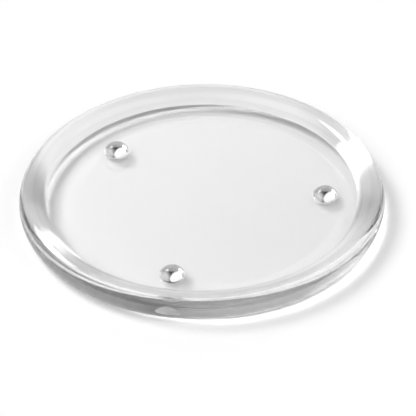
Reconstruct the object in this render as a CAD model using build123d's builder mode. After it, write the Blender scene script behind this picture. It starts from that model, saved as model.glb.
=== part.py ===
"""Clear glass candle plate: a flat pressed disc with a round bead for a rim, and three domed rests bonded to it.

Frame: millimetres, +Z up, origin on the table under the middle of the plate.
"""
import os
from math import acos, asin, degrees

from build123d import *

# Plate
plate_diameter = 120.0
bead_diameter = 9.0  # round rim, as high as the plate
floor_thickness = 4.0
rise_width = 6.0  # the flat floor rises a little over this width, up to the bead
rise_radius = 25.0  # hollow curve of that rise

# Rests that hold the candle clear of the floor
rest_diameter = 7.9
rest_height = 3.4
rest_skirt_height = 1.0  # straight side under the dome
rest_places = {  # gap from the edge of the flat floor to the rest's middle, and its bearing from +X
    "left_rest": (6.7, 137.3),
    "right_rest": (4.6, 0.0),
    "front_rest": (3.8, -103.9),
}

# Clear resin that bonds each rest to the floor
bond_thickness = 0.12
bond_margin = 0.3  # the film stops this far inside the rest's edge

plate_radius = plate_diameter / 2
bead_radius = bead_diameter / 2
bead_middle = plate_radius - bead_radius
well_radius = plate_radius - bead_diameter
floor_radius = well_radius - rise_width
rest_radius = rest_diameter / 2
dome_height = rest_height - rest_skirt_height
dome_radius = (rest_radius**2 + dome_height**2) / (2 * dome_height)
dome_angle = degrees(acos((dome_radius - dome_height) / dome_radius))
bond_top = floor_thickness + bond_thickness
rise_angle = degrees(asin((bead_middle - floor_radius) / rise_radius))
rise_middle = floor_thickness + rise_radius

os.makedirs("parts", exist_ok=True)

# The plate is one turned section: a flat disc that rises a little to a crease with the round bead
with BuildPart() as glass_plate:
    with BuildSketch(Plane.XZ):
        with BuildLine():
            Line((0, floor_thickness), (0, 0))
            Line((0, 0), (bead_middle, 0))
            rise = CenterArc((floor_radius, rise_middle), rise_radius, 270, rise_angle)
            Line((bead_middle, 0), rise @ 1)
            Line(rise @ 0, (0, floor_thickness))
        make_face()
        with Locations((bead_middle, bead_radius)):
            Circle(bead_radius)
    revolve(axis=Axis.Z)
glass_plate.part.label = "glass_plate"
export_step(glass_plate.part, "parts/glass_plate.step")

for rest_name, (edge_gap, bearing) in rest_places.items():
    middle = Vector(floor_radius - edge_gap, 0, 0).rotate(Axis.Z, bearing)

    # Film of resin, flat on the floor
    with BuildPart() as bond:
        with BuildSketch(Plane.XY.offset(floor_thickness)):
            with Locations((middle.X, middle.Y)):
                Circle(rest_radius - bond_margin)
        extrude(amount=bond_thickness)
    bond_name = rest_name.replace("rest", "bond")
    bond.part.label = bond_name
    export_step(bond.part, f"parts/{bond_name}.step")

    # Domed rest: short straight skirt under a round dome
    foot = Vector(middle.X, middle.Y, bond_top)
    with BuildPart() as rest:
        with BuildSketch(Plane(origin=foot, x_dir=(1, 0, 0), z_dir=(0, -1, 0))):
            with BuildLine():
                Line((0, rest_height), (0, 0))
                Line((0, 0), (rest_radius, 0))
                Line((rest_radius, 0), (rest_radius, rest_skirt_height))
                CenterArc((0, rest_height - dome_radius), dome_radius, 90 - dome_angle, dome_angle)
            make_face()
        revolve(axis=Axis(foot, (0, 0, 1)))
    rest.part.label = rest_name
    export_step(rest.part, f"parts/{rest_name}.step")
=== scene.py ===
"""A clear glass candle plate with three bonded rests, standing on a white table in soft studio light."""

import math

import bpy
from mathutils import Matrix, Vector
from mathutils.geometry import delaunay_2d_cdt


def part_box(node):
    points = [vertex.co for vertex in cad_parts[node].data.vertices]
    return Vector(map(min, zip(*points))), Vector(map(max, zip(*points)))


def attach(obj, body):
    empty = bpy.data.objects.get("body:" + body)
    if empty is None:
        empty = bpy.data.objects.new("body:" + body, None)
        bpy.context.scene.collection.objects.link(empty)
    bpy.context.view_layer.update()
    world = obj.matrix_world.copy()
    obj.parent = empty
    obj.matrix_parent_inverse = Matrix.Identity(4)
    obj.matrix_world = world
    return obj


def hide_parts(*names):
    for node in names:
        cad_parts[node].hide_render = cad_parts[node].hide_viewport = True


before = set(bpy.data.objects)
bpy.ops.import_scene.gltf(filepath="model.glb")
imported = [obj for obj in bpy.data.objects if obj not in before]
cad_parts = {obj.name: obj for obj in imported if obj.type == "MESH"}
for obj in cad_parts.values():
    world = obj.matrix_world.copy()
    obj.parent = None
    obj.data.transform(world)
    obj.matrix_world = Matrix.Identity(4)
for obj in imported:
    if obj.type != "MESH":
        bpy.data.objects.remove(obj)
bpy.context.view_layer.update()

# Plate
# A flat disc of clear soda-lime glass with a round bead for a rim, pressed in a mould and fire-polished.
# It is one turned section: flat underside, bead, and a floor that rises a little where it meets the bead.
MM = 0.001
plate_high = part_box("glass_plate")[1]
plate_radius = plate_high.x
bead_radius = plate_high.z / 2
bead_middle = plate_radius - bead_radius
floor_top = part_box("front_bond")[0].z
floor_radius = 45 * MM  # the flat of the floor, inside the rise
rise_radius = 25 * MM
round_steps = 288
bead_steps = 120
rise_steps = 24
seat_steps = 72
weld = 1e-7
plate_tint = (0.93, 0.93, 0.93, 1.0)
plate_ripple_size = 6 * MM
plate_ripple_depth = 0.002 * MM


def ring(middle, radius, steps):
    """Places round a circle, seen from above."""
    turns = [2 * math.pi * step / steps for step in range(steps)]
    return [(middle[0] + radius * math.cos(turn), middle[1] + radius * math.sin(turn)) for turn in turns]


def arc(middle, radius, start, sweep, steps, hollow=False):
    """Part of a circle as a run of section: each place's radius and height, then its normal's out and up.

    A hollow arc has its glass outside the circle.
    """
    run = []
    side = -1 if hollow else 1
    for step in range(steps + 1):
        turn = start + sweep * step / steps
        out, up = math.cos(turn), math.sin(turn)
        run.append((middle[0] + radius * out, middle[1] + radius * up, out * side, up * side))
    return run


def straight(first, last):
    """A straight run of section, with the glass on its left."""
    along = Vector((last[0] - first[0], last[1] - first[1])).normalized()
    return [(*first, along.y, -along.x), (*last, along.y, -along.x)]


def turned(runs, middle, steps):
    """Points, faces and corner normals of runs of section turned about an upright axis at middle."""
    points, faces, normals = [], [], []
    for run in runs:
        rings = []
        for radius, height, out, up in run:
            count = steps if radius > 0 else 1
            rings.append((len(points), count, out, up))
            points += [(x, y, height) for x, y in ring(middle, radius, count)]
        for lower, upper in zip(rings, rings[1:]):
            for step in range(steps):
                corners = [(lower, step), (lower, step + 1), (upper, step + 1), (upper, step)]
                if lower[1] == 1:
                    corners.pop(1)
                if upper[1] == 1:
                    corners.pop()
                faces.append([first + place % count for (first, count, _, _), place in corners])
                for (_, count, out, up), place in corners:
                    turn = 2 * math.pi * (place if count > 1 else step + 0.5) / steps
                    normals.append((out * math.cos(turn), out * math.sin(turn), up))
    return points, faces, normals


def piece(name, points, faces, normals):
    """A mesh object whose corners carry the true normals of the turned section."""
    mesh = bpy.data.meshes.new(name)
    mesh.from_pydata(points, [], faces)
    mesh.polygons.foreach_set("use_smooth", [True] * len(faces))
    mesh.normals_split_custom_set(normals)
    made = bpy.data.objects.new(name, mesh)
    bpy.context.collection.objects.link(made)
    return made


# The hollow rise and the bead meet in a crease, where their two circles cross
bead_spot = Vector((bead_middle, bead_radius))
rise_spot = Vector((floor_radius, floor_top + rise_radius))
apart = (bead_spot - rise_spot).length
along = (bead_spot - rise_spot) / apart
forward = (apart**2 + rise_radius**2 - bead_radius**2) / (2 * apart)
aside = math.sqrt(rise_radius**2 - forward**2)
crease = rise_spot + along * forward + Vector((along.y, -along.x)) * aside
lip_end = math.atan2(crease.y - bead_spot.y, crease.x - bead_spot.x) % (2 * math.pi)
rise_end = math.atan2(crease.y - rise_spot.y, crease.x - rise_spot.x)
plate_section = [
    straight((0, 0), (bead_middle, 0)),
    arc(bead_spot, bead_radius, -math.pi / 2, math.pi / 2 + lip_end, bead_steps),
    arc(rise_spot, rise_radius, rise_end, -math.pi / 2 - rise_end, rise_steps, hollow=True),
]
points, faces, normals = turned(plate_section, (0, 0), round_steps)
skins = [0] * len(faces)

# The flat floor is cut round each seat, where resin wets the glass and its skin doesn't show
seats = {}
for rest_name in ("left_rest", "right_rest", "front_rest"):
    low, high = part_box(rest_name.replace("rest", "bond"))
    seats[rest_name] = ((low + high) / 2, (high.x - low.x) / 2)
circles = [((0, 0), floor_radius, round_steps)]
circles += [(middle, radius, seat_steps) for middle, radius in seats.values()]
flat, edges = [], []
for middle, radius, steps in circles:
    first = len(flat)
    flat += [Vector(place) for place in ring(middle, radius, steps)]
    edges += [(first + step, first + (step + 1) % steps) for step in range(steps)]
all_triangles = 0
floor_points, _, floor_faces, _, _, _ = delaunay_2d_cdt(flat, edges, [], all_triangles, weld)
first = len(points)
points += [(point.x, point.y, floor_top) for point in floor_points]
for face in floor_faces:
    spot = sum((floor_points[corner] for corner in face), Vector((0, 0))) / len(face)
    wet = any((spot - middle.xy).length < radius for middle, radius in seats.values())
    faces.append([first + corner for corner in face])
    normals += [(0, 0, 1)] * len(face)
    skins.append(int(wet))
plate = piece("plate", points, faces, normals)


class Wire:
    """One socket of a shader tree; arithmetic on it adds Math nodes."""

    def __init__(self, tree, socket=None):
        self.tree = tree
        self.socket = socket

    def add(self, kind, settings=(), sockets=(), out=0):
        """A new node: its settings first, then the values or wires of its sockets."""
        node = self.tree.nodes.new("ShaderNode" + kind)
        for name, value in dict(settings).items():
            setattr(node, name, value)
        for name, value in dict(sockets).items():
            if isinstance(value, Wire):
                self.tree.links.new(value.socket, node.inputs[name])
            else:
                node.inputs[name].default_value = value
        return Wire(self.tree, node.outputs[out] if node.outputs else None)

    def __add__(self, other):
        return self.add("Math", {"operation": "ADD"}, {0: self, 1: other})

    def __mul__(self, other):
        return self.add("Math", {"operation": "MULTIPLY"}, {0: self, 1: other})

    def __gt__(self, other):
        return self.add("Math", {"operation": "GREATER_THAN"}, {0: self, 1: other})

    __radd__ = __add__
    __rmul__ = __mul__


def bare_finish(name):
    """An empty material and the wire that builds its tree."""
    material = bpy.data.materials.new(name)
    material.use_nodes = True
    material.node_tree.nodes.clear()
    return material, Wire(material.node_tree)


def clear_glass(name, tint, ripple_size, ripple_depth):
    """Clear glass that greys with depth, with the faint ripple of fire-polishing."""
    material, wire = bare_finish(name)
    place = wire.add("TexCoord", out="Object")
    ripple = wire.add("TexNoise", sockets={"Vector": place, "Scale": 1 / ripple_size, "Detail": 4.0})
    bump = wire.add("Bump", sockets={"Strength": 1.0, "Distance": ripple_depth, "Height": ripple})
    skin = wire.add("BsdfPrincipled", sockets={
        "Base Color": tint,
        "Transmission Weight": 1.0,
        "IOR": 1.5,
        "Roughness": 0.0,
        "Normal": bump,
    })
    depth = wire.add("VolumeAbsorption", sockets={"Color": (0.9, 0.9, 0.9, 1.0), "Density": 50.0})
    wire.add("OutputMaterial", sockets={"Surface": skin, "Volume": depth})
    return material


plate_glass = clear_glass("plate_glass", plate_tint, plate_ripple_size, plate_ripple_depth)
wet_seat, wire = bare_finish("wet_seat")
wire.add("OutputMaterial", sockets={"Surface": wire.add("BsdfPrincipled", sockets={"Alpha": 0.0})})
plate.data.materials.append(plate_glass)
plate.data.materials.append(wet_seat)
plate.data.polygons.foreach_set("material_index", skins)
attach(plate, "root")
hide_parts("glass_plate")

# Bonds
# A thin round film of cured resin under each rest: a drop pressed out by hand, short of the rest's edge.
# It is cloudy white where it wets the plate's floor; its top face, under the rest's foot, is painted a darker
# grey as painted shade.
film_steps = 96
film_clearance = 0.01 * MM
cloud_size = 0.7 * MM
foot_tones = (0.95, 0.95, 0.95, 1.0), (1.0, 1.0, 1.0, 1.0)
# The top tones are painted shade: the film's upper face darkened as if shaded by the rest above it.
painted_shade_tones = (0.45, 0.45, 0.45, 1.0), (0.55, 0.55, 0.55, 1.0)


def blend(factor, first, last):
    """A colour that goes from first to last as the factor goes from zero to one."""
    return factor.add("Mix", {"data_type": "RGBA"}, {"Factor": factor, "A": first, "B": last}, out="Result")


bond_resin, wire = bare_finish("bond_resin")
place = wire.add("TexCoord", out="Object")
cloud = wire.add("TexNoise", sockets={"Vector": place, "Scale": 1 / cloud_size, "Detail": 4.0})
# Faces that look up take the darker painted shade tones; the foot and sides keep the cloudy white.
facing = wire.add("SeparateXYZ", sockets={0: wire.add("TexCoord", out="Normal")}, out="Z")
film_skin = wire.add("BsdfPrincipled", sockets={
    "Base Color": blend(facing > 0.5, blend(cloud, *foot_tones), blend(cloud, *painted_shade_tones)),
    "Roughness": 0.4 + cloud * 0.3,
    "Specular IOR Level": 0.2,
})
wire.add("OutputMaterial", sockets={"Surface": film_skin})
for rest_name, (seat_middle, seat_radius) in seats.items():
    bond_name = rest_name.replace("rest", "bond")
    low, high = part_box(bond_name)
    bottom, top = low.z + film_clearance, high.z - film_clearance
    film_section = [
        straight((0, bottom), (seat_radius, bottom)),
        straight((seat_radius, bottom), (seat_radius, top)),
        straight((seat_radius, top), (0, top)),
    ]
    film = piece(rest_name.replace("rest", "film"), *turned(film_section, seat_middle, film_steps))
    film.data.materials.append(bond_resin)
    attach(film, "root")
    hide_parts(bond_name)

# Rests
# Three drops of clear glass that hold a candle off the floor, each a low dome on a short upright skirt.
# They are pressed apart from the plate and set on its floor by hand, so their spacing is a little uneven.
rest_skirt = 1.0 * MM
rest_steps = 96
dome_steps = 24
rest_tint = (0.96, 0.96, 0.96, 1.0)
rest_ripple_size = 2 * MM
rest_ripple_depth = 0.001 * MM
rest_glass = clear_glass("rest_glass", rest_tint, rest_ripple_size, rest_ripple_depth)
for rest_name, (seat_middle, _) in seats.items():
    low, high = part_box(rest_name)
    rest_radius = (high.x - low.x) / 2
    dome_height = high.z - low.z - rest_skirt
    ball = (rest_radius**2 + dome_height**2) / (2 * dome_height)
    dome_angle = math.acos((ball - dome_height) / ball)
    dome = arc((0, high.z - ball), ball, math.pi / 2 - dome_angle, dome_angle, dome_steps)
    dome[-1] = (0, high.z, 0, 1)  # the crown is one point
    rest_section = [
        straight((0, low.z), (rest_radius, low.z)),
        straight((rest_radius, low.z), (rest_radius, low.z + rest_skirt)),
        dome,
    ]
    rest = piece(rest_name.replace("rest", "drop"), *turned(rest_section, seat_middle, rest_steps))
    rest.data.materials.append(rest_glass)
    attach(rest, "root")
    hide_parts(rest_name)

# Table
# A wide matt white table top of fine-grained board.
# It lies a hair below the plate and takes its shadow and the light that the glass gathers.
table_reach = 3.0
table_gap = 0.03 * MM
grain_size = 0.5 * MM
table_tones = (0.945, 0.945, 0.945, 1.0), (0.955, 0.955, 0.955, 1.0)
table_sides = (-table_reach, table_reach)
mesh = bpy.data.meshes.new("table")
mesh.from_pydata([(x, y, -table_gap) for y in table_sides for x in table_sides], [], [(0, 1, 3, 2)])
table = bpy.data.objects.new("table", mesh)
bpy.context.collection.objects.link(table)
table_white, wire = bare_finish("table_white")
place = wire.add("TexCoord", out="Object")
grain = wire.add("TexNoise", sockets={"Vector": place, "Scale": 1 / grain_size, "Detail": 2.0})
matt = wire.add("BsdfPrincipled", sockets={
    "Base Color": blend(grain, *table_tones),
    "Roughness": 1.0,
    "Specular IOR Level": 0.0,
})
wire.add("OutputMaterial", sockets={"Surface": matt})
mesh.materials.append(table_white)

# Light
# A dim studio with soft boxes painted on its walls by direction: a small round key at the back left,
# low white panels behind the table and at its back right, and two broad boxes that fill from the front.
room_level = 0.03
key_level = 9.9
panel_level = 1.1
side_panel_level = 0.65
left_fill_level = 1.65
right_fill_level = 1.2
world = bpy.data.worlds.new("studio")
bpy.context.scene.world = world
world.use_nodes = True
world.node_tree.nodes.clear()
wire = Wire(world.node_tree)
direction = wire.add("TexCoord", out="Generated")
height = wire.add("SeparateXYZ", sockets={0: direction}, out="Z")


def fade(value, none, full):
    """Zero to one as a value goes from none to full, with soft ends."""
    return wire.add("MapRange", {"interpolation_type": "SMOOTHSTEP"}, {
        "Value": value,
        "From Min": none,
        "From Max": full,
        "To Min": 0.0,
        "To Max": 1.0,
    })


def soft_box(bearing, rise, inner, outer):
    """One where a round soft box shines, fading to nothing between two angles from its middle, in degrees."""
    turn, lift = math.radians(bearing), math.radians(rise)
    toward = (math.cos(lift) * math.cos(turn), math.cos(lift) * math.sin(turn), math.sin(lift))
    facing = wire.add("VectorMath", {"operation": "DOT_PRODUCT"}, {0: direction, 1: toward}, out="Value")
    return fade(facing, math.cos(math.radians(outer)), math.cos(math.radians(inner)))


def above(low, high):
    """One above a height in the studio and zero below it, fading between two angles in degrees."""
    return fade(height, math.sin(math.radians(low)), math.sin(math.radians(high)))


off_table = above(low=5, high=9)
off_ground = above(low=20, high=30)
key = soft_box(bearing=142, rise=43, inner=10, outer=13) * key_level
panel = soft_box(bearing=112, rise=20, inner=24, outer=30) * off_table * panel_level
side_panel = soft_box(bearing=55, rise=22, inner=12, outer=32) * off_table * side_panel_level
left_fill = soft_box(bearing=212, rise=44, inner=8, outer=55) * off_ground * left_fill_level
right_fill = soft_box(bearing=325, rise=42, inner=8, outer=52) * off_ground * right_fill_level
glow = room_level + key + panel + side_panel + left_fill + right_fill
walls = wire.add("Background", sockets={"Color": (1.0, 1.0, 1.0, 1.0), "Strength": glow})
wire.add("OutputWorld", sockets={"Surface": walls})

# Camera
# Looks down on the plate from the front with a long lens, so that near and far sides keep their sizes.
# The plate's middle falls at foot_column and foot_row of the picture, counted from its top left.
picture = 416
focal_pixels = 3642.0
foot_column, foot_row = 202.1, 208.1
camera_reach = 1.1972
camera_rise = math.radians(37.96)
camera_roll = math.radians(1.0)
sensor = 36.0
light_bounces = 48
back = Vector((0, -math.cos(camera_rise), math.sin(camera_rise)))
right = Vector((1, 0, 0))
up = back.cross(right)
across = right * math.cos(camera_roll) - up * math.sin(camera_roll)
upright = up * math.cos(camera_roll) + right * math.sin(camera_roll)
aim = Matrix((across, upright, back)).transposed().to_4x4()
lens = bpy.data.cameras.new("camera")
lens.sensor_width = sensor
lens.lens = focal_pixels * sensor / picture
lens.shift_x = (picture / 2 - foot_column) / picture
lens.shift_y = (foot_row - picture / 2) / picture
camera = bpy.data.objects.new("camera", lens)
camera.matrix_world = Matrix.Translation(back * camera_reach) @ aim
bpy.context.collection.objects.link(camera)
scene = bpy.context.scene
scene.camera = camera
scene.view_settings.view_transform = "Standard"
scene.cycles.max_bounces = light_bounces
scene.cycles.transmission_bounces = light_bounces
scene.cycles.glossy_bounces = light_bounces
scene.cycles.transparent_max_bounces = light_bounces
scene.cycles.blur_glossy = 0.0
